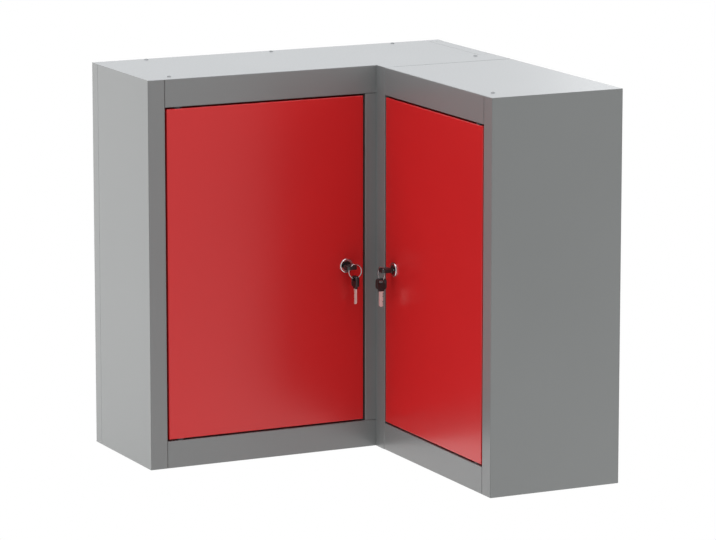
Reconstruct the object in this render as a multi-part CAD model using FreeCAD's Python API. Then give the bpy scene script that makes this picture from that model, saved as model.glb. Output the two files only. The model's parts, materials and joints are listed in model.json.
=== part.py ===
import FreeCAD, Part
import math
import os

Vector = FreeCAD.Vector

# L-shaped corner wall cabinet of folded sheet steel with two inset doors. Millimetres, +Z up.
# The origin is under the middle of the square that the two arms span. The left arm runs along X at the
# rear, the right arm runs along Y at the right, and the notch between them opens towards -X and -Y.

# Overall size
cabinet_width = 600.0
cabinet_length = 600.0
cabinet_height = 600.0
arm_depth = 218.0

# Sheet steel and how it is folded
sheet = 1.2
bend_radius = 1.0
bend_limit_share = 0.85
seam_gap = 0.5
lap = 1.0
corner_relief = 24.0
return_depth = 20.0
end_flange = 20.0
back_flange = 22.0

# Front frame
left_stile = 27.5
right_stile = 26.5
left_post_flange = 18.7
right_post_flange = 29.0
top_rail = 43.0
bottom_rail = 42.0
stop_lip = 10.0
stop_clearance = 1.5

# Flange of the corner wall that lies on the top of the left module
wrap_width = 23.0
wrap_front_margin = 36.0
wrap_back_margin = 17.0

# Joint between the two modules
seam_flange = 16.0
seam_flange_inset = 28.0
bolt_radius = 3.0
bolt_head_flats = 10.0
bolt_head_height = 4.0
nut_height = 5.0
bolt_end = 2.0
bolt_clearance = 0.1
bolt_places_share = (0.25, 0.75)

# Fixing to the walls
wall_hole_radius = 4.5
wall_hole_from_top = 60.0
wall_hole_from_bottom = 100.0
left_hole_from_end = 100.0
right_hole_from_end = 66.5
wall_rail_height = 40.0
wall_rail_thickness = 3.0
wall_rail_overhang = 30.0

# Rivets
rivet_radius = 1.6
rivet_head_radius = 3.3
rivet_head_height = 1.6
rivet_tail_radius = 2.4
rivet_tail_height = 1.2
rivet_clearance = 0.05
rivet_round_share = 0.6
back_rivet_from_end = 87.0
back_rivet_inset = 10.0
hinge_rivet_shift = 5.0
gusset_rivet_from_wall = 35.0

# Gusset between the top of the left module and the corner wall
gusset_width = 24.0
gusset_reach = 50.0
gusset_drop = 38.0
gusset_setback = 10.0

# Doors
door_gap = 3.0
latch_gap = 3.8
door_depth = 22.0
door_lip = 10.0
stiffener_width = 40.0
stiffener_foot = 15.0
stiffener_depth = 13.0
stiffener_end_gap = 12.0
bumper_radius = 3.0
bumper_clearance = 0.3
bumper_places_share = (0.12, 0.88)

# Hinges: a pin in each rail turns in a bush in the door
pivot_inset = 20.0
pivot_depth = 8.0
pin_radius = 3.0
pin_engagement = 9.0
pin_head_radius = 5.0
pin_head_height = 3.0
pin_collar_radius = 6.0
pin_collar_height = 0.7
pin_seat_clearance = 0.05
running_clearance = 0.05
thrust_clearance = 0.3
bush_radius = 5.0
bush_length = 12.0
bush_flange_radius = 7.0
bracket_half_width = 12.0
bracket_depth = 19.0
bracket_thickness = 2.0
bracket_tab = 16.0

# Locks
lock_height = 290.5
lock_inset = 29.2
bezel_radius = 11.0
bezel_height = 2.5
bezel_round = 1.4
barrel_radius = 9.0
barrel_length = 24.5
barrel_seat_clearance = 0.05
plug_radius = 7.2
plug_recess = 0.5
stub_width = 8.0
stub_clearance = 0.05
keyway_clearance = 0.25
keyway_depth = 21.0
lock_nut_flats = 22.0
lock_nut_height = 4.0
cam_gap = 0.8
cam_thickness = 2.0
cam_half_width = 7.0
cam_length = 29.0
cam_screw_radius = 2.0
cam_screw_length = 5.0
cam_screw_head_radius = 4.6
cam_screw_head_height = 2.6

# Keys
key_reach = 19.0
bow_width = 17.0
bow_length = 17.0
bow_thickness = 6.0
bow_corner = 4.0
bow_edge = 1.0
neck_width = 10.0
neck_length = 3.0
slot_width = 9.4
slot_depth = 5.2
slot_from_end = 4.6
blade_width = 7.0
blade_thickness = 2.0
blade_root = 8.0
blade_length = 31.5
blade_tip = 2.2
blade_cut_depths_share = (0.18, 0.30, 0.12, 0.26, 0.20)
blade_cut_width = 2.6
blade_cut_pitch = 4.0
blade_cut_start = 4.0
blade_groove_width = 1.8
blade_groove_depth = 0.55
blade_groove_shift = 1.2

# Key rings
ring_radius = 10.75
ring_wire_radius = 0.75
ring_shift = 6.5
hang_clearance = 0.5

# Shelves
shelf_height = 300.0
shelf_setback = 48.0
shelf_lip = 20.0
shelf_wall_gap = 4.0
shelf_joint_gap = 3.0
shelf_notch_clearance = 3.0
clip_width = 30.0
clip_height = 20.0
clip_foot = 16.0
long_clip_places_share = (0.14, 0.5, 0.86)
end_clip_places_share = (0.35, 0.75)

# Cutting tools run past the faces they cut, and edges on a line are found to this tolerance
overrun = 2.0
touch = 0.001

# Places worked out from the sizes above
origin = Vector(0, 0, 0)
upright = Vector(0, 0, 1)
x_left = -cabinet_width / 2
x_right = cabinet_width / 2
y_end = -cabinet_length / 2
y_back = cabinet_length / 2
front_x = x_right - arm_depth
front_y = y_back - arm_depth
seam_y = front_y - right_post_flange
z_top = cabinet_height
z_low = sheet
z_high = z_top - sheet
x_wall = x_right - sheet
y_wall = y_back - sheet
wrap_start = front_y + wrap_front_margin
wrap_stop = y_back - wrap_back_margin
wall_hole_levels = (wall_hole_from_bottom, z_top - wall_hole_from_top)
left_hole_reach = cabinet_width / 2 - left_hole_from_end
right_hole_reach = (seam_y - y_end) / 2 - right_hole_from_end
right_hole_middle = (y_end + seam_y) / 2
back_rivet_spacing = cabinet_width / 2 - back_rivet_from_end
fold_radius = min(bend_radius, bend_limit_share * sheet)
stop_depth = door_depth + stop_clearance
bow_half = bow_thickness / 2
ring_inner = ring_radius - ring_wire_radius
ring_drop = ring_inner - bow_half - hang_clearance
spare_reach = math.sqrt(ring_inner ** 2 - bow_half ** 2)
spare_drop = ring_drop + spare_reach - hang_clearance + slot_depth / 2

# Each arm in its own directions: along the front from its outer end, then into the arm, then up
left_arm = {
    "name": "left",
    "corner": Vector(x_left, front_y, 0),
    "swapped": False,
    "stile": left_stile,
    "opening_end": front_x - x_left - left_post_flange,
    "wrap": back_flange + seam_gap,
}
right_arm = {
    "name": "right",
    "corner": Vector(front_x, y_end, 0),
    "swapped": True,
    "stile": right_stile,
    "opening_end": front_y - y_end - right_post_flange,
    "wrap": 0,
}
for arm in (left_arm, right_arm):
    arm["door_start"] = arm["stile"] + door_gap
    arm["door_end"] = arm["opening_end"] - latch_gap
    arm["pivot"] = arm["door_start"] + pivot_inset
    arm["lock"] = Vector(arm["door_end"] - lock_inset, 0, lock_height)
door_low = bottom_rail + door_gap
door_high = z_top - top_rail - door_gap


def box(x0, x1, y0, y1, z0, z1):
    """Block between two values on each axis."""
    return Part.makeBox(x1 - x0, y1 - y0, z1 - z0, Vector(x0, y0, z0))


def rod(radius, start, end):
    """Round bar between two points."""
    return Part.makeCylinder(radius, (end - start).Length, start, end - start)


def joined(*pieces):
    """One solid from pieces that touch or overlap."""
    return pieces[0].multiFuse(list(pieces[1:])).removeSplitter()


def hexagon_bar(flats, start, end):
    """Six-sided bar between two points."""
    radius = flats / math.sqrt(3)
    corners = [Vector(radius * math.cos(step * math.pi / 3), radius * math.sin(step * math.pi / 3), 0)
               for step in range(7)]
    bar = Part.Face(Part.makePolygon(corners)).extrude(upright * (end - start).Length)
    bar.Placement = FreeCAD.Placement(start, FreeCAD.Rotation(upright, end - start))
    return bar


def lies_on(edge, line):
    """Whether an edge lies on a line given by two of its coordinates."""
    bounds = edge.BoundBox
    spans = {
        "x": (bounds.XMin, bounds.XMax),
        "y": (bounds.YMin, bounds.YMax),
        "z": (bounds.ZMin, bounds.ZMax),
    }
    return all(abs(end - place) < touch for axis, place in line.items() for end in spans[axis])


def rounded(solid, radius, *lines):
    """Solid with every edge on the given lines rounded."""
    edges = [edge for edge in solid.Edges if any(lies_on(edge, line) for line in lines)]
    return solid.makeFillet(radius, edges)


def flipped(solid):
    """Copy turned upside down about the middle of the height, for the bottom of the cabinet."""
    return solid.mirror(Vector(0, 0, cabinet_height / 2), upright)


def placed(arm, solid):
    """Solid given in an arm's own directions, put where that arm is."""
    turned = solid.mirror(origin, Vector(1, -1, 0)) if arm["swapped"] else solid
    return turned.translated(arm["corner"])


def at_lock(arm, solid):
    """Solid given about the lock's axis on the door's face, put where that arm's lock is."""
    return placed(arm, solid.translated(arm["lock"]))


def save(node, *solids):
    """Writes a node's file."""
    shape = solids[0] if len(solids) == 1 else Part.makeCompound(list(solids))
    shape.exportStep("parts/" + node + ".step")


# Rivets

back_rivets = [Vector(step * back_rivet_spacing, y_back - back_rivet_inset, 0) for step in (-1, 0, 1)]
gusset_rivet = Vector(x_right - gusset_rivet_from_wall, front_y + gusset_setback + gusset_width / 2, 0)


def hinge_rivet(arm):
    """Place of the rivet that holds a hinge bracket to the top or bottom panel."""
    inward = bracket_depth + bracket_tab / 3
    return placed(arm, Part.Vertex(arm["pivot"] - hinge_rivet_shift, inward, 0)).Point


def rivet(place, under):
    """Rivet through the top: domed head outside, set end under what it holds."""
    head_high = Vector(place.x, place.y, z_top + rivet_head_height)
    head = rod(rivet_head_radius, Vector(place.x, place.y, z_top), head_high)
    head = rounded(head, rivet_round_share * rivet_head_height, {"z": z_top + rivet_head_height})
    shank = rod(rivet_radius, Vector(place.x, place.y, under), Vector(place.x, place.y, z_top))
    tail_low = Vector(place.x, place.y, under - rivet_tail_height)
    tail = rod(rivet_tail_radius, tail_low, Vector(place.x, place.y, under))
    return joined(head, shank, tail)


def flush_rivet(place, under):
    """Rivet for the bottom, drawn on the top: flush outside, with its head inside on what it holds."""
    head_low = Vector(place.x, place.y, under - rivet_head_height)
    head = rod(rivet_head_radius, head_low, Vector(place.x, place.y, under))
    return joined(head, rod(rivet_radius, Vector(place.x, place.y, under), Vector(place.x, place.y, z_top)))


def rivet_hole(place):
    """Tool for a rivet's hole through the top and what lies under it."""
    low = Vector(place.x, place.y, z_top - top_rail / 2)
    return rod(rivet_radius + rivet_clearance, low, Vector(place.x, place.y, z_top + overrun))


# Carcass panels


def end_panel(arm):
    """End of an arm with its front stile, jamb and spot-weld tabs."""
    stile = arm["stile"]
    plate_end = arm_depth - arm["wrap"]
    tab_start = return_depth + end_flange
    tab_end = plate_end - corner_relief
    pieces = [
        box(0, sheet, 0, plate_end, z_low, z_high),
        box(0, stile, 0, sheet, z_low, z_high),
        box(stile - sheet, stile, 0, return_depth, z_low, z_high),
        box(0, end_flange, tab_start, tab_end, z_high - sheet, z_high),
        box(0, end_flange, tab_start, tab_end, z_low, z_low + sheet),
    ]
    if arm["wrap"]:
        pieces.append(box(sheet, 2 * sheet, plate_end - lap, arm_depth - sheet, z_low, z_high))
    else:
        low = z_low + corner_relief
        high = z_high - corner_relief
        pieces.append(box(0, end_flange, arm_depth - 2 * sheet, arm_depth - sheet, low, high))
    folded = rounded(joined(*pieces), fold_radius, {"x": 0, "y": 0}, {"x": stile, "y": 0})
    return placed(arm, folded)


def bolt_places(low, high):
    """Places of the module bolts along a flange."""
    return [low + share * (high - low) for share in bolt_places_share]


seam_bolt_x = bolt_places(front_x + seam_flange_inset, x_right - seam_flange_inset)
seam_bolt_z = z_top - sheet - (seam_flange - sheet) / 2
wall_bolt_x = x_wall - (end_flange - sheet) / 2
wall_bolt_z = bolt_places(z_low + corner_relief, z_high - corner_relief)


def bolt_hole(x, z):
    """Tool for a module bolt's hole through both flanges at the seam."""
    reach = sheet + overrun
    return rod(bolt_radius + bolt_clearance, Vector(x, seam_y - reach, z), Vector(x, seam_y + reach, z))


def left_cover(rail):
    """Top of the left module: plate round the corner, front rail with its return, seam flange."""
    rail_start = x_left + left_stile + seam_gap
    rail_low = z_top - rail
    flange_start = front_x + seam_flange_inset
    flange_end = x_right - seam_flange_inset
    cover = joined(
        box(x_left, x_right, front_y, y_back, z_high, z_top),
        box(front_x, x_right, seam_y, front_y, z_high, z_top),
        box(rail_start, front_x, front_y, front_y + sheet, rail_low, z_top),
        box(rail_start, front_x, front_y, front_y + return_depth, rail_low, rail_low + sheet),
        box(flange_start, flange_end, seam_y, seam_y + sheet, z_top - seam_flange, z_top),
    )
    cover = rounded(cover, fold_radius, {"y": front_y, "z": z_top}, {"y": front_y, "z": rail_low})
    cover = rounded(cover, fold_radius, {"y": seam_y, "z": z_top})
    return cover.cut([bolt_hole(x, seam_bolt_z) for x in seam_bolt_x])


def right_cover(rail):
    """Top of the right module: plate, front rail with its return, seam flange."""
    rail_start = y_end + right_stile + seam_gap
    rail_low = z_top - rail
    flange_start = front_x + seam_flange_inset
    flange_end = x_right - seam_flange_inset
    cover = joined(
        box(front_x, x_right, y_end, seam_y, z_high, z_top),
        box(front_x, front_x + sheet, rail_start, seam_y, rail_low, z_top),
        box(front_x, front_x + return_depth, rail_start, seam_y, rail_low, rail_low + sheet),
        box(flange_start, flange_end, seam_y - sheet, seam_y, z_top - seam_flange, z_top),
    )
    cover = rounded(cover, fold_radius, {"x": front_x, "z": z_top}, {"x": front_x, "z": rail_low})
    cover = rounded(cover, fold_radius, {"y": seam_y, "z": z_top})
    return cover.cut([bolt_hole(x, seam_bolt_z) for x in seam_bolt_x])


def pin_hole(arm, rail):
    """Tool for the hinge pin's hole through a top rail's return and the bracket on it."""
    low = Vector(arm["pivot"], pivot_depth, z_top - rail - overrun)
    high = Vector(arm["pivot"], pivot_depth, z_top - rail + sheet + bracket_thickness + overrun)
    return placed(arm, rod(pin_radius + pin_seat_clearance, low, high))


def top_panel_left():
    """Top of the left module, let down under the corner wall's flange."""
    cover = left_cover(top_rail)
    x_recess = x_right - wrap_width - seam_gap
    y_start = wrap_start - seam_gap
    y_stop = wrap_stop + seam_gap
    recess = box(x_recess, x_right + overrun, y_start, y_stop, z_high, z_top + overrun)
    strip = box(x_recess - lap, x_wall, y_start - lap, y_stop + lap, z_high - sheet, z_high)
    holes = [rivet_hole(place) for place in back_rivets + [gusset_rivet, hinge_rivet(left_arm)]]
    return joined(cover.cut(recess), strip).cut(holes + [pin_hole(left_arm, top_rail)])


def back_panel_left():
    """Rear of the left module: a tray whose side flange wraps the left end."""
    flange_end = x_right - wrap_width - corner_relief
    flange_start = x_left + corner_relief
    panel = joined(
        box(x_left, x_right, y_wall, y_back, z_low, z_high),
        box(x_left, x_left + sheet, y_back - back_flange, y_back, z_low, z_high),
        box(flange_start, flange_end, y_back - back_flange, y_back, z_high - sheet, z_high),
        box(flange_start, flange_end, y_back - back_flange, y_back, z_low, z_low + sheet),
    )
    panel = rounded(panel, fold_radius, {"x": x_left, "y": y_back})
    holes = [rivet_hole(place) for place in back_rivets]
    holes += [flipped(hole) for hole in holes]
    return panel.cut(holes + left_wall_holes())


def corner_wall_panel():
    """Right-hand wall of the left module, with the flange that lies on the top."""
    low = z_low + corner_relief
    high = z_high - corner_relief
    panel = joined(
        box(x_wall, x_right, seam_y, y_wall, z_low, z_high),
        box(x_wall, x_right, wrap_start, wrap_stop, z_low, z_top),
        box(x_right - wrap_width, x_right, wrap_start, wrap_stop, z_high, z_top),
        box(x_right - end_flange, x_right, y_wall - sheet, y_wall, low, high),
        box(x_right - end_flange, x_right, seam_y, seam_y + sheet, low, high),
    )
    panel = rounded(panel, fold_radius, {"x": x_right, "z": z_top})
    return panel.cut([bolt_hole(wall_bolt_x, z) for z in wall_bolt_z])


def back_panel_right():
    """Wall side of the right module."""
    flange_start = y_end + sheet + corner_relief
    flange_end = seam_y - corner_relief
    low = z_low + corner_relief
    high = z_high - corner_relief
    panel = joined(
        box(x_wall, x_right, y_end + sheet, seam_y, z_low, z_high),
        box(x_right - back_flange, x_right, flange_start, flange_end, z_high - sheet, z_high),
        box(x_right - back_flange, x_right, flange_start, flange_end, z_low, z_low + sheet),
        box(x_right - end_flange, x_right, seam_y - sheet, seam_y, low, high),
    )
    return panel.cut([bolt_hole(wall_bolt_x, z) for z in wall_bolt_z] + right_wall_holes())


def corner_post():
    """Folded post at the inner corner with a jamb and a stop lip for each door."""
    low = bottom_rail + seam_gap
    high = z_top - top_rail - seam_gap
    x_jamb = front_x - left_post_flange
    y_lip = front_y + stop_depth
    x_lip = front_x + stop_depth
    post = joined(
        box(front_x, front_x + sheet, seam_y, front_y + sheet, z_low, z_high),
        box(x_jamb, front_x + sheet, front_y, front_y + sheet, low, high),
        box(x_jamb, x_jamb + sheet, front_y, y_lip + sheet, low, high),
        box(x_jamb - stop_lip, x_jamb + sheet, y_lip, y_lip + sheet, low, high),
        box(front_x, x_lip + sheet, seam_y, seam_y + sheet, low, high),
        box(x_lip, x_lip + sheet, seam_y - stop_lip, seam_y + sheet, low, high),
    )
    return rounded(post, fold_radius, {"x": x_jamb, "y": front_y}, {"x": front_x, "y": seam_y})


def top_gusset():
    """Angle under the top of the left module, riveted to it and welded to the corner wall."""
    y_start = front_y + gusset_setback
    y_stop = y_start + gusset_width
    angle = joined(
        box(x_wall - gusset_reach, x_wall, y_start, y_stop, z_high - sheet, z_high),
        box(x_wall - sheet, x_wall, y_start, y_stop, z_high - gusset_drop, z_high),
    )
    return angle.cut(rivet_hole(gusset_rivet))


# Wall fixing

def left_wall_holes():
    """Tools for the fixing holes through the rear of the left module."""
    inner = y_back - sheet - wall_rail_thickness - overrun
    outer = y_back + overrun
    places = [(side * left_hole_reach, z) for side in (-1, 1) for z in wall_hole_levels]
    return [rod(wall_hole_radius, Vector(x, inner, z), Vector(x, outer, z)) for x, z in places]


def right_wall_holes():
    """Tools for the fixing holes through the wall side of the right module."""
    inner = x_right - sheet - wall_rail_thickness - overrun
    outer = x_right + overrun
    places = [(right_hole_middle + side * right_hole_reach, z) for side in (-1, 1) for z in wall_hole_levels]
    return [rod(wall_hole_radius, Vector(inner, y, z), Vector(outer, y, z)) for y, z in places]


def wall_rail_left():
    """Stiff bar behind the upper fixing holes of the left module."""
    half = left_hole_reach + wall_rail_overhang
    low = z_top - wall_hole_from_top - wall_rail_height / 2
    bar = box(-half, half, y_wall - wall_rail_thickness, y_wall, low, low + wall_rail_height)
    return bar.cut(left_wall_holes())


def wall_rail_right():
    """Stiff bar behind the upper fixing holes of the right module."""
    half = right_hole_reach + wall_rail_overhang
    low = z_top - wall_hole_from_top - wall_rail_height / 2
    y_low = right_hole_middle - half
    y_high = right_hole_middle + half
    bar = box(x_wall - wall_rail_thickness, x_wall, y_low, y_high, low, low + wall_rail_height)
    return bar.cut(right_wall_holes())


# Bolts between the modules

seam_bolts = [(x, seam_bolt_z) for x in seam_bolt_x]
seam_bolts += [(x, z_top - seam_bolt_z) for x in seam_bolt_x]
seam_bolts += [(wall_bolt_x, z) for z in wall_bolt_z]


def module_bolt(x, z):
    """Hexagon bolt through both flanges, from the right module's side."""
    seat = Vector(x, seam_y - sheet, z)
    head = hexagon_bar(bolt_head_flats, seat - Vector(0, bolt_head_height, 0), seat)
    tip = Vector(x, seam_y + sheet + nut_height + bolt_end, z)
    return joined(head, rod(bolt_radius, seat, tip))


def module_nut(x, z):
    """Nut on a module bolt."""
    seat = Vector(x, seam_y + sheet, z)
    end = seat + Vector(0, nut_height, 0)
    return hexagon_bar(bolt_head_flats, seat, end).cut(rod(bolt_radius + bolt_clearance, seat, end))


# Shelves


def shelf_left():
    """Shelf of the left arm, with its front edge turned down."""
    front = front_y + shelf_setback
    x_start = x_left + shelf_wall_gap
    x_stop = x_right - shelf_wall_gap
    top = shelf_height + sheet
    plate = box(x_start, x_stop, front, y_back - shelf_wall_gap, shelf_height, top)
    return joined(plate, box(x_start, x_stop, front, front + sheet, top - shelf_lip, top))


def shelf_right():
    """Shelf of the right arm, notched round the flanges at the seam."""
    front = front_x + shelf_setback
    y_start = y_end + shelf_wall_gap
    y_stop = front_y + shelf_setback - shelf_joint_gap
    x_stop = x_right - shelf_wall_gap
    top = shelf_height + sheet
    plate = box(front, x_stop, y_start, y_stop, shelf_height, top)
    shelf = joined(plate, box(front, front + sheet, y_start, y_stop, top - shelf_lip, top))
    half = sheet + shelf_notch_clearance
    deep = x_right - end_flange - shelf_notch_clearance
    return shelf.cut(box(deep, x_right, seam_y - half, seam_y + half, shelf_height - overrun, top + overrun))


def shelf_clip(wall, turn):
    """Angle clip on a wall under a shelf, turned to face away from that wall."""
    half = clip_width / 2
    clip = joined(
        box(-half, half, -sheet, 0, -clip_height, 0),
        box(-half, half, -clip_foot, 0, -sheet, 0),
    )
    clip.rotate(origin, upright, turn)
    return clip.translated(wall)


def along(start, stop, shares):
    """Places between two ends."""
    return [start + share * (stop - start) for share in shares]


def shelf_clips_left():
    """Clips on the rear wall and the left end."""
    places = along(x_left, x_right, long_clip_places_share)
    rear = [shelf_clip(Vector(x, y_wall, shelf_height), 0) for x in places]
    ends = along(front_y + shelf_setback, y_back - back_flange - clip_width / 2, end_clip_places_share)
    return rear + [shelf_clip(Vector(x_left + sheet, y, shelf_height), 90) for y in ends]


def shelf_clips_right():
    """Clips on the wall side and the right end."""
    places = along(y_end, seam_y, long_clip_places_share)
    wall = [shelf_clip(Vector(x_wall, y, shelf_height), -90) for y in places]
    ends = along(front_x + shelf_setback, x_right - end_flange - clip_width / 2, end_clip_places_share)
    return wall + [shelf_clip(Vector(x, y_end + sheet, shelf_height), 180) for x in ends]


# Hinges


def hinge_bracket(arm, rail):
    """Bracket from a rail's return up to the top panel, holding the hinge pin."""
    start = arm["pivot"] - bracket_half_width
    stop = arm["pivot"] + bracket_half_width
    low = z_top - rail + sheet
    leg = bracket_depth - bracket_thickness
    bracket = joined(
        box(start, stop, sheet, bracket_depth, low, low + bracket_thickness),
        box(start, stop, leg, bracket_depth, low, z_high),
        box(start, stop, leg, bracket_depth + bracket_tab, z_high - bracket_thickness, z_high),
    )
    return placed(arm, bracket).cut([pin_hole(arm, rail), rivet_hole(hinge_rivet(arm))])


def hinge_pin(arm, rail):
    """Headed pin through the bracket and the rail's return, with a collar under the return."""
    def level(z):
        return Vector(arm["pivot"], pivot_depth, z)
    rail_low = z_top - rail
    seat = rail_low + sheet + bracket_thickness
    pin = joined(
        rod(pin_radius, level(rail_low - door_gap - pin_engagement), level(seat)),
        rod(pin_head_radius, level(seat), level(seat + pin_head_height)),
        rod(pin_collar_radius, level(rail_low - pin_collar_height), level(rail_low)),
    )
    return placed(arm, pin)


def hinge_bush(arm, face, way):
    """Flanged bush in the door's top (way 1) or bottom (way -1)."""
    def level(z):
        return Vector(arm["pivot"], pivot_depth, face + way * z)
    flange = door_gap - pin_collar_height - thrust_clearance
    tube = rod(bush_radius, level(-bush_length), level(0))
    collar = rod(bush_flange_radius, level(0), level(flange))
    bore = rod(pin_radius + running_clearance, level(-bush_length - overrun), level(flange + overrun))
    return placed(arm, joined(tube, collar).cut(bore))


# Doors


def door_panel(arm):
    """Door tray: front sheet, four edges and turned-in lips, with holes for the lock and the bushes."""
    start = arm["door_start"]
    stop = arm["door_end"]
    lip_front = door_depth - sheet
    shell = box(start, stop, 0, door_depth, door_low, door_high)
    hollow = box(start + sheet, stop - sheet, sheet, lip_front, door_low + sheet, door_high - sheet)
    mouth = box(start + door_lip, stop - door_lip, sheet, door_depth + overrun,
                door_low + door_lip, door_high - door_lip)
    tray = shell.cut([hollow, mouth])
    tray = rounded(tray, fold_radius, {"x": start, "y": 0}, {"x": stop, "y": 0},
                   {"y": 0, "z": door_low}, {"y": 0, "z": door_high})
    lock = arm["lock"]
    through = Vector(0, sheet + overrun, 0)
    lock_hole = rod(barrel_radius + barrel_seat_clearance, lock - through, lock + through)
    bush_holes = [rod(bush_radius + pin_seat_clearance, Vector(arm["pivot"], pivot_depth, z - 2 * sheet),
                      Vector(arm["pivot"], pivot_depth, z + 2 * sheet)) for z in (door_low, door_high)]
    return placed(arm, tray.cut([lock_hole] + bush_holes))


def door_stiffener(arm):
    """Upright hat section welded to the back of the door's front sheet."""
    middle = (arm["door_start"] + arm["door_end"]) / 2
    half = stiffener_width / 2
    low = door_low + stiffener_end_gap
    high = door_high - stiffener_end_gap
    crown = sheet + stiffener_depth
    hat = joined(
        box(middle - half, middle + half, crown - sheet, crown, low, high),
        box(middle - half, middle - half + sheet, sheet, crown, low, high),
        box(middle + half - sheet, middle + half, sheet, crown, low, high),
        box(middle - half - stiffener_foot, middle - half, sheet, 2 * sheet, low, high),
        box(middle + half, middle + half + stiffener_foot, sheet, 2 * sheet, low, high),
    )
    return placed(arm, hat)


def door_bumpers(arm):
    """Rubber pads on the free edge of the door, where it meets the post's stop lip."""
    across = arm["door_end"] - door_lip / 2
    tall = stop_clearance - bumper_clearance
    pads = []
    for share in bumper_places_share:
        z = door_low + share * (door_high - door_low)
        pad = rod(bumper_radius, Vector(across, door_depth, z), Vector(across, door_depth + tall, z))
        pads.append(placed(arm, pad))
    return pads


# Locks, drawn about the lock's axis: X towards the inner corner, Y into the door


def into(depth):
    """Point on the lock's axis."""
    return Vector(0, depth, 0)


bore_radius = plug_radius + running_clearance
cam_front = barrel_length + cam_gap


def lock_housing():
    """Bezel and barrel with the bore that the plug turns in."""
    bezel = rod(bezel_radius, into(-bezel_height), into(0))
    bezel = rounded(bezel, min(bezel_round, bend_limit_share * bezel_height), {"y": -bezel_height})
    body = joined(bezel, rod(barrel_radius, into(0), into(barrel_length)))
    return body.cut(rod(bore_radius, into(-bezel_height - overrun), into(barrel_length + overrun)))


def lock_nut():
    """Nut that clamps the housing to the door."""
    nut = hexagon_bar(lock_nut_flats, into(sheet), into(sheet + lock_nut_height))
    bore_end = into(sheet + lock_nut_height + overrun)
    return nut.cut(rod(barrel_radius + barrel_seat_clearance, into(0), bore_end))


def lock_plug():
    """Plug with its keyway in front and a square stub for the cam behind."""
    front = plug_recess - bezel_height
    half = stub_width / 2
    stub_end = cam_front + cam_thickness
    plug = joined(
        rod(plug_radius, into(front), into(barrel_length)),
        box(-half, half, barrel_length, stub_end, -half, half),
    )
    half_slot = blade_width / 2 + keyway_clearance
    half_height = blade_thickness / 2 + keyway_clearance
    keyway = box(-half_slot, half_slot, front - overrun, keyway_depth, -half_height, half_height)
    thread_end = into(stub_end - cam_screw_length - stub_clearance)
    thread = rod(cam_screw_radius + stub_clearance, thread_end, into(stub_end))
    return plug.cut([keyway, thread])


def lock_cam():
    """Cam on the stub, pointing up when the lock is open."""
    back = cam_front + cam_thickness
    tip = cam_length - cam_half_width
    half = stub_width / 2 + stub_clearance
    cam = joined(
        rod(cam_half_width, into(cam_front), into(back)),
        box(-cam_half_width, cam_half_width, cam_front, back, 0, tip),
        rod(cam_half_width, into(cam_front) + upright * tip, into(back) + upright * tip),
    )
    return cam.cut(box(-half, half, cam_front - overrun, back + overrun, -half, half))


def cam_screw():
    """Screw that holds the cam on the stub."""
    seat = cam_front + cam_thickness
    head = rod(cam_screw_head_radius, into(seat), into(seat + cam_screw_head_height))
    return joined(head, rod(cam_screw_radius, into(seat - cam_screw_length), into(seat)))


# Keys, drawn about the middle of the slot in the bow: X across, Y towards the blade's tip, Z through


def key_blade():
    """Flat steel blade with its cuts, a milled groove in each side and a pointed tip."""
    start = blade_root
    stop = start + blade_length
    half = blade_width / 2
    outline = [
        Vector(-half, start, 0),
        Vector(half, start, 0),
        Vector(half, stop - blade_tip, 0),
        Vector(half - blade_tip, stop, 0),
        Vector(blade_tip - half, stop, 0),
        Vector(-half, stop - blade_tip, 0),
    ]
    profile = Part.Face(Part.makePolygon(outline + outline[:1]))
    blade = profile.extrude(upright * blade_thickness).translated(upright * (-blade_thickness / 2))
    cuts = []
    for count, share in enumerate(blade_cut_depths_share):
        middle = stop - blade_cut_start - count * blade_cut_pitch
        deep = share * blade_width
        notch = [
            Vector(half + touch, middle - blade_cut_width / 2 - deep / 2, 0),
            Vector(half + touch, middle + blade_cut_width / 2 + deep / 2, 0),
            Vector(half - deep, middle + blade_cut_width / 2 - deep / 2, 0),
            Vector(half - deep, middle - blade_cut_width / 2 + deep / 2, 0),
        ]
        tool = Part.Face(Part.makePolygon(notch + notch[:1])).extrude(upright * 2 * blade_thickness)
        cuts.append(tool.translated(-upright * blade_thickness))
    groove_low = -blade_groove_shift - blade_groove_width / 2
    groove_high = groove_low + blade_groove_width
    groove_start = bow_length - slot_from_end + neck_length
    floor = blade_thickness / 2 - blade_groove_depth
    for side in (-1, 1):
        levels = sorted((side * floor, side * blade_thickness))
        cuts.append(box(groove_low, groove_high, groove_start, stop + overrun, *levels))
    return blade.cut(cuts)


def key_bow():
    """Moulded bow with a neck round the blade's root and a slot for the ring."""
    half = bow_width / 2
    low = -slot_from_end
    high = low + bow_length
    head = box(-half, half, low, high, -bow_half, bow_half)
    head = rounded(head, bow_corner, {"x": -half, "y": low}, {"x": half, "y": low},
                   {"x": -half, "y": high}, {"x": half, "y": high})
    head = rounded(head, bow_edge, {"z": bow_half}, {"z": -bow_half})
    neck = box(-neck_width / 2, neck_width / 2, high - bow_corner, high + neck_length, -bow_half + bow_edge,
               bow_half - bow_edge)
    reach = bow_thickness
    slot = box(-slot_width / 2, slot_width / 2, -slot_depth / 2, slot_depth / 2, -reach, reach)
    round_slot = slot_depth * bend_limit_share / 2
    slot = rounded(slot, round_slot, {"x": -slot_width / 2, "y": -slot_depth / 2},
                   {"x": slot_width / 2, "y": -slot_depth / 2}, {"x": -slot_width / 2, "y": slot_depth / 2},
                   {"x": slot_width / 2, "y": slot_depth / 2})
    return joined(head, neck).cut([slot, key_blade()])


def in_lock(piece):
    """Key piece with its blade in the keyway and its bow level."""
    return piece.translated(into(-key_reach))


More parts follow.
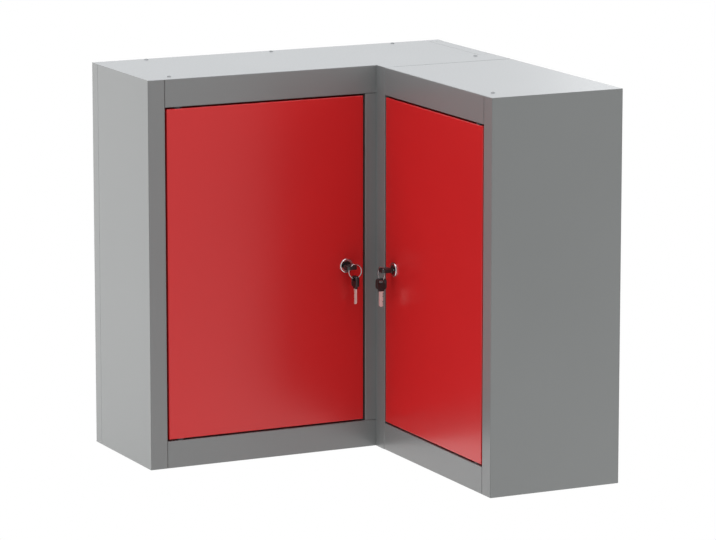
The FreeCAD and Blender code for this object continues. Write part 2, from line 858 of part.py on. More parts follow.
def hanging(piece):
    """Spare key piece, hanging blade down from the ring."""
    turned = piece.copy()
    turned.rotate(origin, Vector(1, 0, 0), -90)
    turned.rotate(origin, upright, 90)
    return turned.translated(Vector(ring_shift, -key_reach, -spare_drop))


def key_ring():
    """Ring through the bow's slot, hanging over the bow's rim."""
    middle = Vector(ring_shift, -key_reach, -ring_drop)
    return Part.makeTorus(ring_radius, ring_wire_radius, middle, Vector(0, 1, 0))


os.makedirs("parts", exist_ok=True)

save("left_end_panel", end_panel(left_arm))
save("right_end_panel", end_panel(right_arm))
save("top_panel_left", top_panel_left())
right_top_holes = [rivet_hole(hinge_rivet(right_arm)), pin_hole(right_arm, top_rail)]
save("top_panel_right", right_cover(top_rail).cut(right_top_holes))
left_bottom_holes = [rivet_hole(place) for place in back_rivets + [hinge_rivet(left_arm)]]
left_bottom_holes.append(pin_hole(left_arm, bottom_rail))
save("bottom_panel_left", flipped(left_cover(bottom_rail).cut(left_bottom_holes)))
right_bottom_holes = [rivet_hole(hinge_rivet(right_arm)), pin_hole(right_arm, bottom_rail)]
save("bottom_panel_right", flipped(right_cover(bottom_rail).cut(right_bottom_holes)))
save("back_panel_left", back_panel_left())
save("corner_wall_panel", corner_wall_panel())
save("back_panel_right", back_panel_right())
save("corner_post", corner_post())
save("top_gusset", top_gusset())
save("wall_rail_left", wall_rail_left())
save("wall_rail_right", wall_rail_right())
save("module_bolts", *[module_bolt(x, z) for x, z in seam_bolts])
save("module_nuts", *[module_nut(x, z) for x, z in seam_bolts])
save("shelf_left", shelf_left())
save("shelf_right", shelf_right())
save("shelf_clips_left", *shelf_clips_left())
save("shelf_clips_right", *shelf_clips_right())

under_flange = z_high - sheet
under_bracket = z_high - bracket_thickness
hinge_rivets = [hinge_rivet(arm) for arm in (left_arm, right_arm)]
top_rivets = [rivet(place, under_flange) for place in back_rivets + [gusset_rivet]]
top_rivets += [rivet(place, under_bracket) for place in hinge_rivets]
save("top_rivets", *top_rivets)
bottom_rivets = [flush_rivet(place, under_flange) for place in back_rivets]
bottom_rivets += [flush_rivet(place, under_bracket) for place in hinge_rivets]
save("bottom_rivets", *[flipped(piece) for piece in bottom_rivets])

for arm in (left_arm, right_arm):
    name = arm["name"]
    save(name + "_hinge_brackets", hinge_bracket(arm, top_rail), flipped(hinge_bracket(arm, bottom_rail)))
    save(name + "_hinge_pins", hinge_pin(arm, top_rail), flipped(hinge_pin(arm, bottom_rail)))
    save(name + "_hinge_bushes", hinge_bush(arm, door_high, 1), hinge_bush(arm, door_low, -1))
    save(name + "_door_panel", door_panel(arm))
    save(name + "_door_stiffener", door_stiffener(arm))
    save(name + "_door_bumpers", *door_bumpers(arm))
    save(name + "_lock_housing", at_lock(arm, lock_housing()))
    save(name + "_lock_nut", at_lock(arm, lock_nut()))
    save(name + "_lock_plug", at_lock(arm, lock_plug()))
    save(name + "_lock_cam", at_lock(arm, lock_cam()))
    save(name + "_cam_screw", at_lock(arm, cam_screw()))
    save(name + "_key_blade", at_lock(arm, in_lock(key_blade())))
    save(name + "_key_bow", at_lock(arm, in_lock(key_bow())))
    save(name + "_key_ring", at_lock(arm, key_ring()))
    save(name + "_spare_key_blade", at_lock(arm, hanging(key_blade())))
    save(name + "_spare_key_bow", at_lock(arm, hanging(key_bow())))
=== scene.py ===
import json
import math

import bmesh
import bpy
from mathutils import Matrix, Vector


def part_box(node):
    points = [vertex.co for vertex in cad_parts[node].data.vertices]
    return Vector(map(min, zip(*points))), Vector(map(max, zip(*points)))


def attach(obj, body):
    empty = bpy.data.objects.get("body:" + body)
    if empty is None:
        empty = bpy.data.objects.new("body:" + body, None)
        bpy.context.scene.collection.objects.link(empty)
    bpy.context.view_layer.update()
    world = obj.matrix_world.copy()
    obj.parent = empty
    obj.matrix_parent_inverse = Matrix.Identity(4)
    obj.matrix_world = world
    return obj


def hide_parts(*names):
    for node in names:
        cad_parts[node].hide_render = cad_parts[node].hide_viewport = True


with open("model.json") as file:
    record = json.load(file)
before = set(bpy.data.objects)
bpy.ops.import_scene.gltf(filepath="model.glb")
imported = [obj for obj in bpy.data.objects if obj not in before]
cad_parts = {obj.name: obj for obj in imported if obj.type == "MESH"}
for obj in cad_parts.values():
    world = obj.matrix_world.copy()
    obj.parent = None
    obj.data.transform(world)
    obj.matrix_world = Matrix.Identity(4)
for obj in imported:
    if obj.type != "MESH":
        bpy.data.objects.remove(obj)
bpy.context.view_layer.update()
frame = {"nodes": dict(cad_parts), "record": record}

# Corner wall cabinet of folded sheet steel, in metres, in the CAD frame: the left arm runs along X at the
# rear with its door facing -Y, and the right arm runs along Y at the right with its door facing -X.

MM = 0.001
UP = Vector((0, 0, 1))

# Key bows: the ring's slot stands KEY_REACH out from the door, and the rim is given as inset and depth
KEY_REACH = 19.0 * MM
BOW_WIDTH = 17.0 * MM
BOW_LENGTH = 17.0 * MM
BOW_THICKNESS = 6.0 * MM
BOW_CORNER = 4.0 * MM
BOW_SIDE = 2.3 * MM
BOW_RECESS = 0.4 * MM
BOW_FIELD_FALL = 0.05 * MM
BOW_RIM = [(0.25 * MM, 0.2 * MM), (0.7 * MM, 0.0), (1.1 * MM, 0.03 * MM), (1.45 * MM, BOW_RECESS)]
SLOT_WIDTH = 9.4 * MM
SLOT_DEPTH = 5.2 * MM
SLOT_CORNER = 2.2 * MM
SLOT_FROM_END = 4.6 * MM
SLOT_EDGE = 0.35 * MM
CORNER_STEPS = 6
NECK_WIDTH = 10.0 * MM
NECK_LENGTH = 3.0 * MM
NECK_THICKNESS = 4.0 * MM
NECK_EDGE = 0.5 * MM
NECK_EDGE_STEPS = 2

# Key rings: their middle hangs below the slot, towards the inner corner, and the spare key hangs on them.
# The wire is a little thinner than its share of the section, so that the turns don't touch.
RING_RADIUS = 10.75 * MM
RING_SECTION = 0.75 * MM
RING_TURNS = 2
RING_STEPS = 144
RING_WIRE_SHARE = 0.96
RING_WIRE_SIDES = 12
RING_SHIFT = 6.5 * MM
RING_DROP = 6.5 * MM
SPARE_DROP = 18.139 * MM

# Blind rivets, as radius and height in millimetres, and their places on the top
RIVET_HEAD = [(0.95, 0.7), (0.95, 1.45), (1.25, 1.6), (2.0, 1.45), (2.7, 1.1), (3.15, 0.6), (3.3, 0.0)]
RIVET_SHANK = 1.6
RIVET_SET = 2.4
RIVET_SET_HEIGHT = 1.2
FLANGE_GRIP = 2.4
BRACKET_GRIP = 3.2
RIVET_FROM_END = 87.0 * MM
RIVET_FROM_BACK = 10.0 * MM
GUSSET_RIVET = (265.0 * MM, 104.0 * MM)
RIVET_FROM_PIN = (-5.0 * MM, 16.333 * MM)

# Door bumpers, as shares of the solid's radius and depth
BUMPER_DOME = [(0.0, 0.0), (1.0, 0.0), (1.0, 0.5), (0.93, 0.74), (0.72, 0.91), (0.4, 0.98), (0.0, 1.0)]

# Cam screws, as radius and height in millimetres: turned from the tip to the rim of the socket, and then
# six-sided. No two neighbours have the same height, because loops in one plane bridge the wrong way.
SCREW_TURNED = [(2.0, -5.0), (2.0, 0.0), (4.6, 0.03), (4.6, 0.7), (4.25, 1.5), (3.5, 2.2), (2.7, 2.6)]
SCREW_SOCKET = [(1.9, 2.57), (1.73, 2.4), (1.73, 0.9)]
SCREW_STEPS = 36
SOCKET_SIDES = 6

# Mesh values that the small fittings share
TURNED_STEPS = 32
MERGE_DISTANCE = 0.001 * MM
SHARP_FROM = math.radians(35)

# Butt joint between the two modules, across the top and bottom, with the shade in its groove painted dark
# into the coat
JOINT_PLACE = 53.0 * MM
JOINT_HALF = 1.1 * MM
JOINT_START = 98.0 * MM
PAINTED_JOINT_SHADE = "#3C3D3D"

# Sizes of the finishes' patterns in millimetres, and each relief's strength and height
COAT_DRIFT = 180
COAT_SPECK = 2.5
COAT_PEEL = 4.0
COAT_RELIEF = (0.10, 0.2 * MM)
PLATE_RELIEF = (0.08, 0.05 * MM)
MOULD_PATCH = 9.0
MOULD_RELIEF = (0.15, 0.05 * MM)

# Values between which most of a noise lies, and how a plated metal's lines are stretched
NOISE_LOW = 0.3
NOISE_HIGH = 0.7
EVEN = (1.0, 1.0, 1.0)
DRAWN_DOWN = (1.0, 1.0, 0.1)

# Studio, in metres: the floor is a little lifted near the cabinet, and plain white past WHITE_AT
HANGING_HEIGHT = 1.4
PAPER = "#F2F2F1"
FLOOR_RADIUS = 40.0
FLOOR_SIDES = 64
FLOOR_LIFT = 0.4
WHITE_FROM = 1.0
WHITE_AT = 4.0
WHITE = (1, 1, 1, 1)
AIR_STRENGTH = 0.4

# Camera: long lens from the front left, fitted to the cabinet's corners in the 716 by 540 picture. Its lens
# is in millimetres, its place in metres and its angles in degrees.
SENSOR_WIDTH = 36.0
LENS_LENGTH = 212.72
CAMERA_PLACE = (-2.7697, -5.6980, 1.5123)
CAMERA_DOWN = 10.831
CAMERA_RIGHT = 26.009
SIGHT_END = 200.0


# Finishes


def linear(colour):
    """An sRGB hex value as linear red, green and blue, with full alpha."""
    shares = [int(colour[start:start + 2], 16) / 255 for start in (1, 3, 5)]
    return tuple(s / 12.92 if s <= 0.04045 else ((s + 0.055) / 1.055) ** 2.4 for s in shares) + (1.0,)


def every(size):
    """Texture scale that draws a pattern about once in so many millimetres."""
    return 1000 / size


def add(tree, kind, links=None, values=None, **settings):
    """A new node with its settings, its socket values and the sockets that feed it."""
    node = tree.nodes.new(kind)
    for name, value in settings.items():
        setattr(node, name, value)
    for socket, value in (values or {}).items():
        node.inputs[socket].default_value = value
    for socket, source in (links or {}).items():
        tree.links.new(source, node.inputs[socket])
    return node


def blank(name):
    """A material with no nodes, and its node tree."""
    material = bpy.data.materials.new(name)
    material.use_nodes = True
    material.node_tree.nodes.clear()
    return material, material.node_tree


def toned(tree, colour, other, size, detail):
    """Object coordinates, and a tone that drifts between two colours in patches of so many millimetres."""
    place = add(tree, "ShaderNodeTexCoord").outputs["Object"]
    drift = add(tree, "ShaderNodeTexNoise", {"Vector": place}, {"Scale": every(size), "Detail": detail})
    tone = add(tree, "ShaderNodeMix", {0: drift.outputs[0]}, {6: linear(other), 7: linear(colour)},
               data_type="RGBA")
    return place, tone.outputs[2]


def surfaced(tree, tone, speckle, roughness, height, relief, values):
    """Ends a material: its tone, a relief, and a gloss between two roughnesses that follows the speckle."""
    low, high = roughness
    strength, distance = relief
    gloss = add(tree, "ShaderNodeMapRange", {"Value": speckle},
                {"From Min": NOISE_LOW, "From Max": NOISE_HIGH, "To Min": low, "To Max": high})
    bump = add(tree, "ShaderNodeBump", {"Height": height}, {"Strength": strength, "Distance": distance})
    skin = add(tree, "ShaderNodeBsdfPrincipled",
               {"Base Color": tone, "Roughness": gloss.outputs[0], "Normal": bump.outputs[0]}, values)
    add(tree, "ShaderNodeOutputMaterial", {"Surface": skin.outputs[0]})


def powder_coat(name, colour, thin, roughness, ior, joint=None):
    """Polyester powder, sprayed on folded steel and baked. It is one even colour with a satin gloss, a soft
    orange peel, and a slow drift of tone where the coat is thinner. The peel is 1 to 2 mm across on the real
    sheet, which is too fine to show here, so it is drawn at 4 mm. Where a butt joint is given, as a place on
    Y, a half width and a start on X, the shade in its groove is painted into the coat as a dark line."""
    material, tree = blank(name)
    place, tone = toned(tree, colour, thin, COAT_DRIFT, 2.0)
    if joint:
        at, half, start = joint
        # Painted shade: a dark line in the coat along the butt joint, where the groove between the panels
        # falls in shadow
        axes = add(tree, "ShaderNodeSeparateXYZ", {"Vector": place})
        near = add(tree, "ShaderNodeMath", {0: axes.outputs["Y"]}, {1: at, 2: half}, operation="COMPARE")
        past = add(tree, "ShaderNodeMath", {0: axes.outputs["X"]}, {1: start}, operation="GREATER_THAN")
        painted_shade_mask = add(tree, "ShaderNodeMath", {0: near.outputs[0], 1: past.outputs[0]},
                     operation="MULTIPLY")
        tone = add(tree, "ShaderNodeMix", {0: painted_shade_mask.outputs[0], 6: tone}, {7: linear(PAINTED_JOINT_SHADE)},
                   data_type="RGBA").outputs[2]
    speck = add(tree, "ShaderNodeTexNoise", {"Vector": place},
                {"Scale": every(COAT_SPECK), "Detail": 3.0})
    peel = add(tree, "ShaderNodeTexNoise", {"Vector": place}, {"Scale": every(COAT_PEEL), "Detail": 1.0})
    surfaced(tree, tone, speck.outputs[0], roughness, peel.outputs[0], COAT_RELIEF, {"IOR": ior})
    return material


def plated_metal(name, colour, dull, roughness, mottle, grain, stretch=EVEN):
    """Plated metal: a bright skin whose tone is mottled at one size, with fine drawn or tumbled lines that
    spread its gloss. The real lines are finer than a tenth of a millimetre, which doesn't show, so they are
    drawn coarser, at the size given as grain."""
    material, tree = blank(name)
    place, tone = toned(tree, colour, dull, mottle, 3.0)
    along = add(tree, "ShaderNodeMapping", {"Vector": place}, {"Scale": stretch})
    lines = add(tree, "ShaderNodeTexNoise", {"Vector": along.outputs[0]},
                {"Scale": every(grain), "Detail": 2.0})
    surfaced(tree, tone, lines.outputs[0], roughness, lines.outputs[0], PLATE_RELIEF, {"Metallic": 1.0})
    return material


def moulding(name, colour, worn, roughness, ior, texture):
    """Moulded plastic or rubber: an even colour, a little paler where it is handled, with the fine texture of
    the mould. The real texture is about 0.1 mm across, so it is drawn as coarse as it needs to show."""
    material, tree = blank(name)
    place, tone = toned(tree, colour, worn, MOULD_PATCH, 3.0)
    spark = add(tree, "ShaderNodeTexNoise", {"Vector": place}, {"Scale": every(texture), "Detail": 2.0})
    surfaced(tree, tone, spark.outputs[0], roughness, spark.outputs[0], MOULD_RELIEF, {"IOR": ior})
    return material


# Mid grey polyester powder on the carcass: even and satin, with painted shade in the joint between the
# modules
grey_coat = powder_coat("grey_powder_coat", "#848685", "#808281", (0.28, 0.34), ior=1.5)
grey_coat_with_painted_joint_shade = powder_coat("grey_powder_coat_with_painted_joint_shade", "#848685", "#808281", (0.28, 0.34),
                                ior=1.5, joint=(JOINT_PLACE, JOINT_HALF, JOINT_START))
# Signal red powder on the doors: a very even gloss that mirrors the other door softly
red_coat = powder_coat("red_powder_coat", "#D82628", "#D42425", (0.28, 0.30), ior=1.45)
# Die-cast zinc, polished and chromed: a mirror with only a breath of haze
chrome = plated_metal("chromed_zinc", "#C4C4C5", "#B8B9BA", (0.10, 0.18), mottle=3.0, grain=0.6)
# Mild steel with bright zinc: a pale cool grey with cloudy patches and a soft gloss
zinc = plated_metal("zinc_plated_steel", "#C3C6C8", "#A9ADB0", (0.28, 0.40), mottle=6.0, grain=0.8)
# Brass with a satin nickel plate, drawn and blanked: a pale warm grey with lines down the hanging blades
nickel = plated_metal("nickel_plated_brass", "#E6E4E0", "#DCDAD6", (0.52, 0.62), mottle=5.0, grain=0.7,
                      stretch=DRAWN_DOWN)
# Steel blackened in a phosphate bath: dark, dull and a little uneven
phosphated = plated_metal("phosphated_steel", "#5A5B5D", "#47484A", (0.42, 0.56), mottle=3.0, grain=0.6)
# Spring wire, hardened and nickel plated: darker than the blades and smooth
spring_wire = plated_metal("nickel_plated_spring_wire", "#C8C8C8", "#A6A6A7", (0.12, 0.20), mottle=4.0,
                           grain=0.5)
# Black ABS from a finely etched mould: a low sheen along its edges
black_abs = moulding("black_moulded_abs", "#161617", "#1F1F20", (0.34, 0.46), ior=1.53, texture=0.5)
# Dark nylon, as moulded: a dull sheen
nylon = moulding("dark_moulded_nylon", "#26272A", "#303135", (0.42, 0.54), ior=1.53, texture=0.5)
# Black rubber, as moulded: matt
rubber = moulding("black_moulded_rubber", "#1B1B1B", "#262626", (0.70, 0.82), ior=1.52, texture=0.6)

slot_finish = {
    "grey_paint": grey_coat,
    "red_paint": red_coat,
    "chrome": chrome,
    "steel": zinc,
    "black_plastic": black_abs,
    "nylon": nylon,
    "rubber": rubber,
}
# Nodes, by the end of their name, whose finish is their own
own_finish = {
    "key_blade": nickel,
    "hinge_pins": phosphated,
    "top_panel_left": grey_coat_with_painted_joint_shade,
    "top_panel_right": grey_coat_with_painted_joint_shade,
    "bottom_panel_left": grey_coat_with_painted_joint_shade,
    "bottom_panel_right": grey_coat_with_painted_joint_shade,
}
for part in frame["record"]["subparts"]:
    finish = slot_finish[part["material_slot"]]
    for ending, own in own_finish.items():
        if part["node"].endswith(ending):
            finish = own
    for place in frame["nodes"][part["node"]].material_slots:
        place.material = finish


# Pieces


def mesh_data(name, mesh):
    """Mesh data from a bmesh, which is freed."""
    data = bpy.data.meshes.new(name)
    mesh.to_mesh(data)
    mesh.free()
    return data


def in_scene(name, data):
    """A new object of the data, in the scene."""
    made = bpy.data.objects.new(name, data)
    bpy.context.scene.collection.objects.link(made)
    return made


def piece(name, mesh, place, body, finish, replaced):
    """Puts a bmesh in its place and makes it a piece that stands for a CAD node."""
    bmesh.ops.transform(mesh, matrix=place, verts=mesh.verts)
    bmesh.ops.recalc_face_normals(mesh, faces=mesh.faces)
    data = mesh_data(name, mesh)
    data.shade_smooth()
    data.set_sharp_from_angle(angle=SHARP_FROM)
    data.materials.append(finish)
    made = in_scene(name, data)
    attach(made, body)
    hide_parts(replaced)


def edges_at(verts):
    """The edges that meet at any of the vertices, once each."""
    return list({edge for vert in verts for edge in vert.link_edges})


def only(geometry, kind):
    """The vertices, or the edges, in a list of a mesh's elements."""
    return [item for item in geometry if isinstance(item, kind)]


def rounded_loop(mesh, width, depth, corner):
    """Edges of a flat rounded rectangle about the origin, in X and Y."""
    verts = bmesh.ops.create_grid(mesh, x_segments=1, y_segments=1, size=0.5)["verts"]
    bmesh.ops.scale(mesh, vec=(width, depth, 1.0), verts=verts)
    faces = {face for vert in verts for face in vert.link_faces}
    bmesh.ops.delete(mesh, geom=list(faces), context="FACES_ONLY")
    made = bmesh.ops.bevel(mesh, geom=verts + edges_at(verts), offset=corner, offset_type="OFFSET",
                           affect="VERTICES", segments=CORNER_STEPS, profile=0.5, material=-1)
    return edges_at(made["verts"])


def key_bow():
    """Moulded key bow, drawn as the solid is: the ring's slot is about the origin and the blade runs to +Y.
    Loops are bridged round its section: rounded edges, a raised rim, and a sunk field as far as the slot."""
    mesh = bmesh.new()
    face = BOW_THICKNESS / 2
    upper = [(False, 0.0, BOW_SIDE)]
    upper += [(False, inset, face - sunk) for inset, sunk in BOW_RIM]
    upper += [(True, -SLOT_EDGE, face - BOW_RECESS - BOW_FIELD_FALL), (True, 0.0, BOW_SIDE)]
    lower = [(slot, inset, -level) for slot, inset, level in reversed(upper)]
    loops = []
    for slot, inset, level in upper + lower:
        width, length, corner = BOW_WIDTH, BOW_LENGTH, BOW_CORNER
        middle = BOW_LENGTH / 2 - SLOT_FROM_END
        if slot:
            width, length, corner = SLOT_WIDTH, SLOT_DEPTH, SLOT_CORNER
            middle = 0
        loop = rounded_loop(mesh, width - 2 * inset, length - 2 * inset, corner - inset)
        verts = list({vert for edge in loop for vert in edge.verts})
        bmesh.ops.translate(mesh, vec=(0, middle, level), verts=verts)
        loops.append(loop)
    for first, second in zip(loops, loops[1:] + loops[:1]):
        bmesh.ops.bridge_loops(mesh, edges=first + second)
    neck = bmesh.ops.create_cube(mesh, size=1.0)["verts"]
    bmesh.ops.scale(mesh, vec=(NECK_WIDTH, 2 * NECK_LENGTH, NECK_THICKNESS), verts=neck)
    bmesh.ops.translate(mesh, vec=(0, BOW_LENGTH - SLOT_FROM_END, 0), verts=neck)
    bmesh.ops.bevel(mesh, geom=edges_at(neck), offset=NECK_EDGE, offset_type="OFFSET", affect="EDGES",
                    segments=NECK_EDGE_STEPS, profile=0.5, material=-1)
    return mesh


def split_ring():
    """Split ring about the origin in the XZ plane: flat wire wound twice, its turns side by side."""
    mesh = bmesh.new()
    half = RING_SECTION / (RING_TURNS + 1)
    wire = bmesh.ops.create_circle(mesh, cap_ends=True, radius=1.0, segments=RING_WIRE_SIDES)["verts"]
    bmesh.ops.scale(mesh, vec=(RING_SECTION, RING_WIRE_SHARE * half, 1.0), verts=wire)
    bmesh.ops.translate(mesh, vec=(RING_RADIUS, half - RING_SECTION, 0), verts=wire)
    bmesh.ops.spin(mesh, geom=mesh.faces[:] + mesh.edges[:] + mesh.verts[:], cent=(0, 0, 0),
                   axis=(0, 1, 0), dvec=(0, RING_TURNS * 2 * half / RING_STEPS, 0),
                   angle=RING_TURNS * 2 * math.pi, steps=RING_STEPS, use_merge=False)
    return mesh


def turned(outline, places):
    """Solids turned about Z, one at each place. Their outline is given as radius and height, from one end on
    the axis to the other."""
    mesh = bmesh.new()
    verts = [mesh.verts.new((radius, 0, height)) for radius, height in outline]
    edges = [mesh.edges.new(pair) for pair in zip(verts, verts[1:])]
    bmesh.ops.spin(mesh, geom=verts + edges, cent=(0, 0, 0), axis=(0, 0, 1), angle=2 * math.pi,
                   steps=TURNED_STEPS, use_merge=True)
    bmesh.ops.remove_doubles(mesh, verts=mesh.verts, dist=MERGE_DISTANCE)
    first = mesh.verts[:] + mesh.edges[:] + mesh.faces[:]
    for place in places[1:]:
        copy = bmesh.ops.duplicate(mesh, geom=first)["geom"]
        bmesh.ops.transform(mesh, matrix=place, verts=only(copy, bmesh.types.BMVert))
    bmesh.ops.transform(mesh, matrix=places[0], verts=only(first, bmesh.types.BMVert))
    return mesh


def with_mesh(mesh, more):
    """The first mesh with the second added to it."""
    data = mesh_data("added", more)
    mesh.from_mesh(data)
    bpy.data.meshes.remove(data)
    return mesh


def rivet_outline(grip):
    """Blind rivet about Z on the sheet's face: domed head with the broken stem in it, shank and set end."""
    head = [(0.0, RIVET_HEAD[0][1])] + RIVET_HEAD
    shank = [(RIVET_SHANK, 0.0), (RIVET_SHANK, -grip)]
    end = -grip - RIVET_SET_HEIGHT
    set_end = [(RIVET_SET, -grip), (RIVET_SET, end), (0.0, end)]
    return [(radius * MM, height * MM) for radius, height in head + shank + set_end]


def socket_screw():
    """Button-head screw about Z with its seat at the origin: loops bridged from the tip of the shank, over
    the head and down its hexagon socket, whose sides are cut into as many edges as the turned loops have."""
    mesh = bmesh.new()
    sections = [(radius, level, SCREW_STEPS) for radius, level in SCREW_TURNED]
    sections += [(radius, level, SOCKET_SIDES) for radius, level in SCREW_SOCKET]
    loops = []
    for radius, level, corners in sections:
        verts = bmesh.ops.create_circle(mesh, cap_ends=False, radius=radius * MM, segments=corners)["verts"]
        bmesh.ops.translate(mesh, vec=(0, 0, level * MM), verts=verts)
        edges = edges_at(verts)
        if corners < SCREW_STEPS:
            cut = bmesh.ops.subdivide_edges(mesh, edges=edges, cuts=SCREW_STEPS // corners - 1)
            edges = list(set(only(cut["geom"], bmesh.types.BMEdge)))
        loops.append(edges)
    for first, second in zip(loops, loops[1:]):
        bmesh.ops.bridge_loops(mesh, edges=first + second)
    for loop in (loops[0], loops[-1]):
        bmesh.ops.edgeloop_fill(mesh, edges=loop)
    return mesh


def placed(across, along, through, at):
    """Matrix that takes X, Y and Z to three directions and the origin to a point."""
    turn = Matrix((across, along, through)).transposed().to_4x4()
    return Matrix.Translation(at) @ turn


# Each side's lock on the door's face, the way towards the inner corner, and the way into the door
left_low, left_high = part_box("left_lock_housing")
right_low, right_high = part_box("right_lock_housing")
left_lock = (left_low + left_high) / 2
left_lock.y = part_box("left_door_panel")[0].y
right_lock = (right_low + right_high) / 2
right_lock.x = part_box("right_door_panel")[0].x
sides = {
    "left": (left_lock, Vector((1, 0, 0)), Vector((0, 1, 0))),
    "right": (right_lock, Vector((0, 1, 0)), Vector((1, 0, 0))),
}

for side, (lock, towards, inward) in sides.items():
    # Key in the lock, and the ring with the spare key that hangs from it
    slot = lock - inward * KEY_REACH
    hang = slot + towards * RING_SHIFT
    piece(side + "_moulded_bow", key_bow(), placed(towards, inward, UP, slot),
          side + "_key", black_abs, side + "_key_bow")
    piece(side + "_spare_moulded_bow", key_bow(), placed(inward, -UP, towards, hang - UP * SPARE_DROP),
          side + "_spare_key", black_abs, side + "_spare_key_bow")
    piece(side + "_split_ring", split_ring(), placed(towards, inward, UP, hang - UP * RING_DROP),
          side + "_ring", spring_wire, side + "_key_ring")

    # Bumpers at the top and bottom of the door's inner face
    low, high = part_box(side + "_door_bumpers")
    middle = (low + high) / 2
    half = (high - low) / 2
    radius = half.dot(towards)
    depth = half.dot(inward)
    dome = [(radius * out, 2 * depth * up) for out, up in BUMPER_DOME]
    pads = turned(dome, [placed(UP, towards, inward, middle - inward * depth + UP * level)
                         for level in (radius - half.z, half.z - radius)])
    piece(side + "_domed_bumpers", pads, Matrix(), side + "_door", rubber,
          side + "_door_bumpers")

    # Screw that holds the cam on the lock
    seat = (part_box(side + "_lock_cam")[1] - lock).dot(inward)
    piece(side + "_socket_screw", socket_screw(), placed(UP, towards, inward, lock + inward * seat),
          side + "_lock", zinc, side + "_cam_screw")

# Rivets on the top: along the back and over the gusset through the flanges, and by each hinge pin through
# the bracket
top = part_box("top_panel_left")[1].z
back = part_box("back_panel_left")[1].y - RIVET_FROM_BACK
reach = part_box("corner_wall_panel")[1].x - RIVET_FROM_END
flange_rivets = [(-reach, back), (0.0, back), (reach, back), GUSSET_RIVET]
bracket_rivets = []
for side, (lock, towards, inward) in sides.items():
    low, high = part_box(side + "_hinge_pins")
    at = (low + high) / 2 + towards * RIVET_FROM_PIN[0] + inward * RIVET_FROM_PIN[1]
    bracket_rivets.append((at.x, at.y))
rivets = with_mesh(*[turned(rivet_outline(grip), [Matrix.Translation((x, y, top)) for x, y in places])
                     for grip, places in ((FLANGE_GRIP, flange_rivets), (BRACKET_GRIP, bracket_rivets))])
piece("domed_rivets", rivets, Matrix(), "carcass", grey_coat, "top_rivets")


# Studio


def where_seen(tree, lit, seen):
    """One shader for the light that a surface gives, and another where the camera, a reflection or glass
    shows it."""
    ray = add(tree, "ShaderNodeLightPath").outputs
    direct = add(tree, "ShaderNodeMath", {0: ray["Is Camera Ray"], 1: ray["Is Glossy Ray"]},
                 operation="MAXIMUM")
    shown = add(tree, "ShaderNodeMath", {0: direct.outputs[0], 1: ray["Is Transmission Ray"]},
                operation="MAXIMUM")
    return add(tree, "ShaderNodeMixShader", {0: shown.outputs[0], 1: lit, 2: seen}).outputs[0]


def floor_and_backdrop():
    """Pale seamless floor, as far under the cabinet as one is from a cabinet on a wall. To the camera, and in
    reflections, it is lifted a little under the cabinet, so that its shadow stays, and is plain white far
    off."""
    mesh = bmesh.new()
    made = bmesh.ops.create_circle(mesh, cap_ends=True, radius=FLOOR_RADIUS, segments=FLOOR_SIDES)
    bmesh.ops.translate(mesh, vec=(0, 0, -HANGING_HEIGHT), verts=made["verts"])
    data = mesh_data("floor", mesh)
    floor = in_scene("floor", data)
    material, tree = blank("pale_seamless_paper")
    paper = add(tree, "ShaderNodeBsdfDiffuse", None, {"Color": linear(PAPER)})
    place = add(tree, "ShaderNodeTexCoord").outputs["Object"]
    flat = add(tree, "ShaderNodeVectorMath", {0: place}, {1: (1, 1, 0)}, operation="MULTIPLY")
    away = add(tree, "ShaderNodeVectorMath", {0: flat.outputs[0]}, operation="LENGTH")
    far = add(tree, "ShaderNodeMapRange", {"Value": away.outputs["Value"]},
              {"From Min": WHITE_FROM, "From Max": WHITE_AT})
    lift = add(tree, "ShaderNodeEmission", None, {"Color": WHITE, "Strength": FLOOR_LIFT})
    lifted = add(tree, "ShaderNodeAddShader", {0: paper.outputs[0], 1: lift.outputs[0]})
    white = add(tree, "ShaderNodeEmission", None, {"Color": WHITE, "Strength": 1.0})
    seen = add(tree, "ShaderNodeMixShader", {0: far.outputs[0], 1: lifted.outputs[0], 2: white.outputs[0]})
    add(tree, "ShaderNodeOutputMaterial", {"Surface": where_seen(tree, paper.outputs[0], seen.outputs[0])})
    data.materials.append(material)


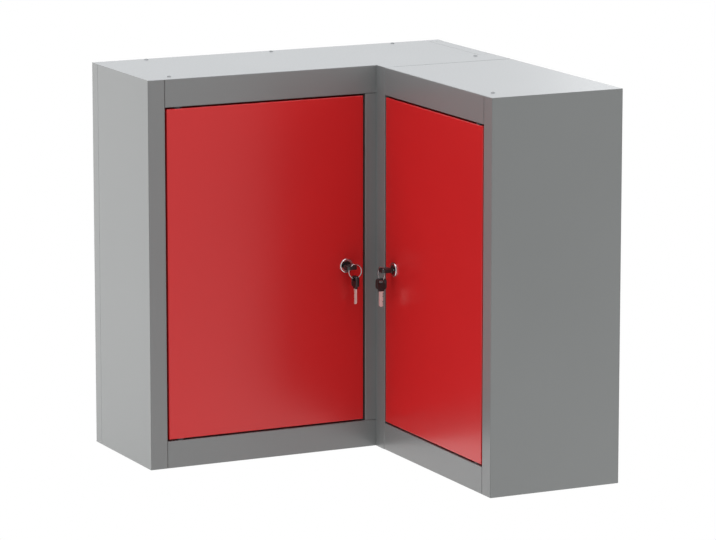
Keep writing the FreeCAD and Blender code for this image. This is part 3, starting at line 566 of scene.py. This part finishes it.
def studio_air():
    """White surroundings: full white where they are seen or reflected, and softer as light."""
    world = bpy.data.worlds.new("studio")
    world.use_nodes = True
    tree = world.node_tree
    tree.nodes.clear()
    soft = add(tree, "ShaderNodeBackground", None, {"Color": WHITE, "Strength": AIR_STRENGTH})
    white = add(tree, "ShaderNodeBackground", None, {"Color": WHITE, "Strength": 1.0})
    add(tree, "ShaderNodeOutputWorld", {"Surface": where_seen(tree, soft.outputs[0], white.outputs[0])})
    bpy.context.scene.world = world


def softbox(name, at, target, width, height, power, colour):
    """Large soft lamp that faces a point, kept out of the camera's sight."""
    lamp = bpy.data.lights.new(name, "AREA")
    lamp.shape = "RECTANGLE"
    lamp.size = width
    lamp.size_y = height
    lamp.energy = power
    lamp.color = linear(colour)[:3]
    made = in_scene(name, lamp)
    made.location = at
    made.visible_camera = False
    made.rotation_euler = (Vector(target) - Vector(at)).to_track_quat("-Z", "Y").to_euler()


floor_and_backdrop()
studio_air()
# Name, place, the point that it faces, width and height in metres, watts, and colour
softbox("overhead_softbox", (0.0, 0.2, 3.4), (0.0, 0.0, 0.3), 3.6, 3.6, 154.3, "#F4F7FF")
softbox("rear_softbox", (1.7, 3.6, 1.7), (0.0, 0.0, 0.5), 2.6, 1.4, 3.0, "#F4F7FF")
softbox("rear_right_softbox", (3.0, 2.8, 1.0), (0.0, 0.0, 0.3), 2.0, 2.0, 9.0, "#FFFFFF")
softbox("left_softbox", (-2.3, 3.4, 0.4), (-0.3, 0.2, 0.3), 2.4, 2.8, 27.1, "#FFFFFF")
softbox("low_left_softbox", (-2.2, 0.4, -1.0), (0.1, -0.1, 0.1), 1.4, 1.4, 10.9, "#FFFFFF")
softbox("right_softbox", (2.4, -3.0, 1.6), (0.1, 0.0, 0.3), 2.0, 2.0, 26.3, "#FFFFFF")
softbox("low_right_softbox", (1.8, -2.4, -0.8), (0.1, -0.1, 0.1), 1.8, 0.9, 5.7, "#FFFFFF")

lens = bpy.data.cameras.new("camera")
lens.sensor_fit = "HORIZONTAL"
lens.sensor_width = SENSOR_WIDTH
lens.lens = LENS_LENGTH
lens.clip_end = SIGHT_END
camera = in_scene("camera", lens)
camera.location = CAMERA_PLACE
camera.rotation_euler = (math.radians(90 - CAMERA_DOWN), 0, math.radians(-CAMERA_RIGHT))
bpy.context.scene.camera = camera
bpy.context.scene.view_settings.view_transform = "Standard"
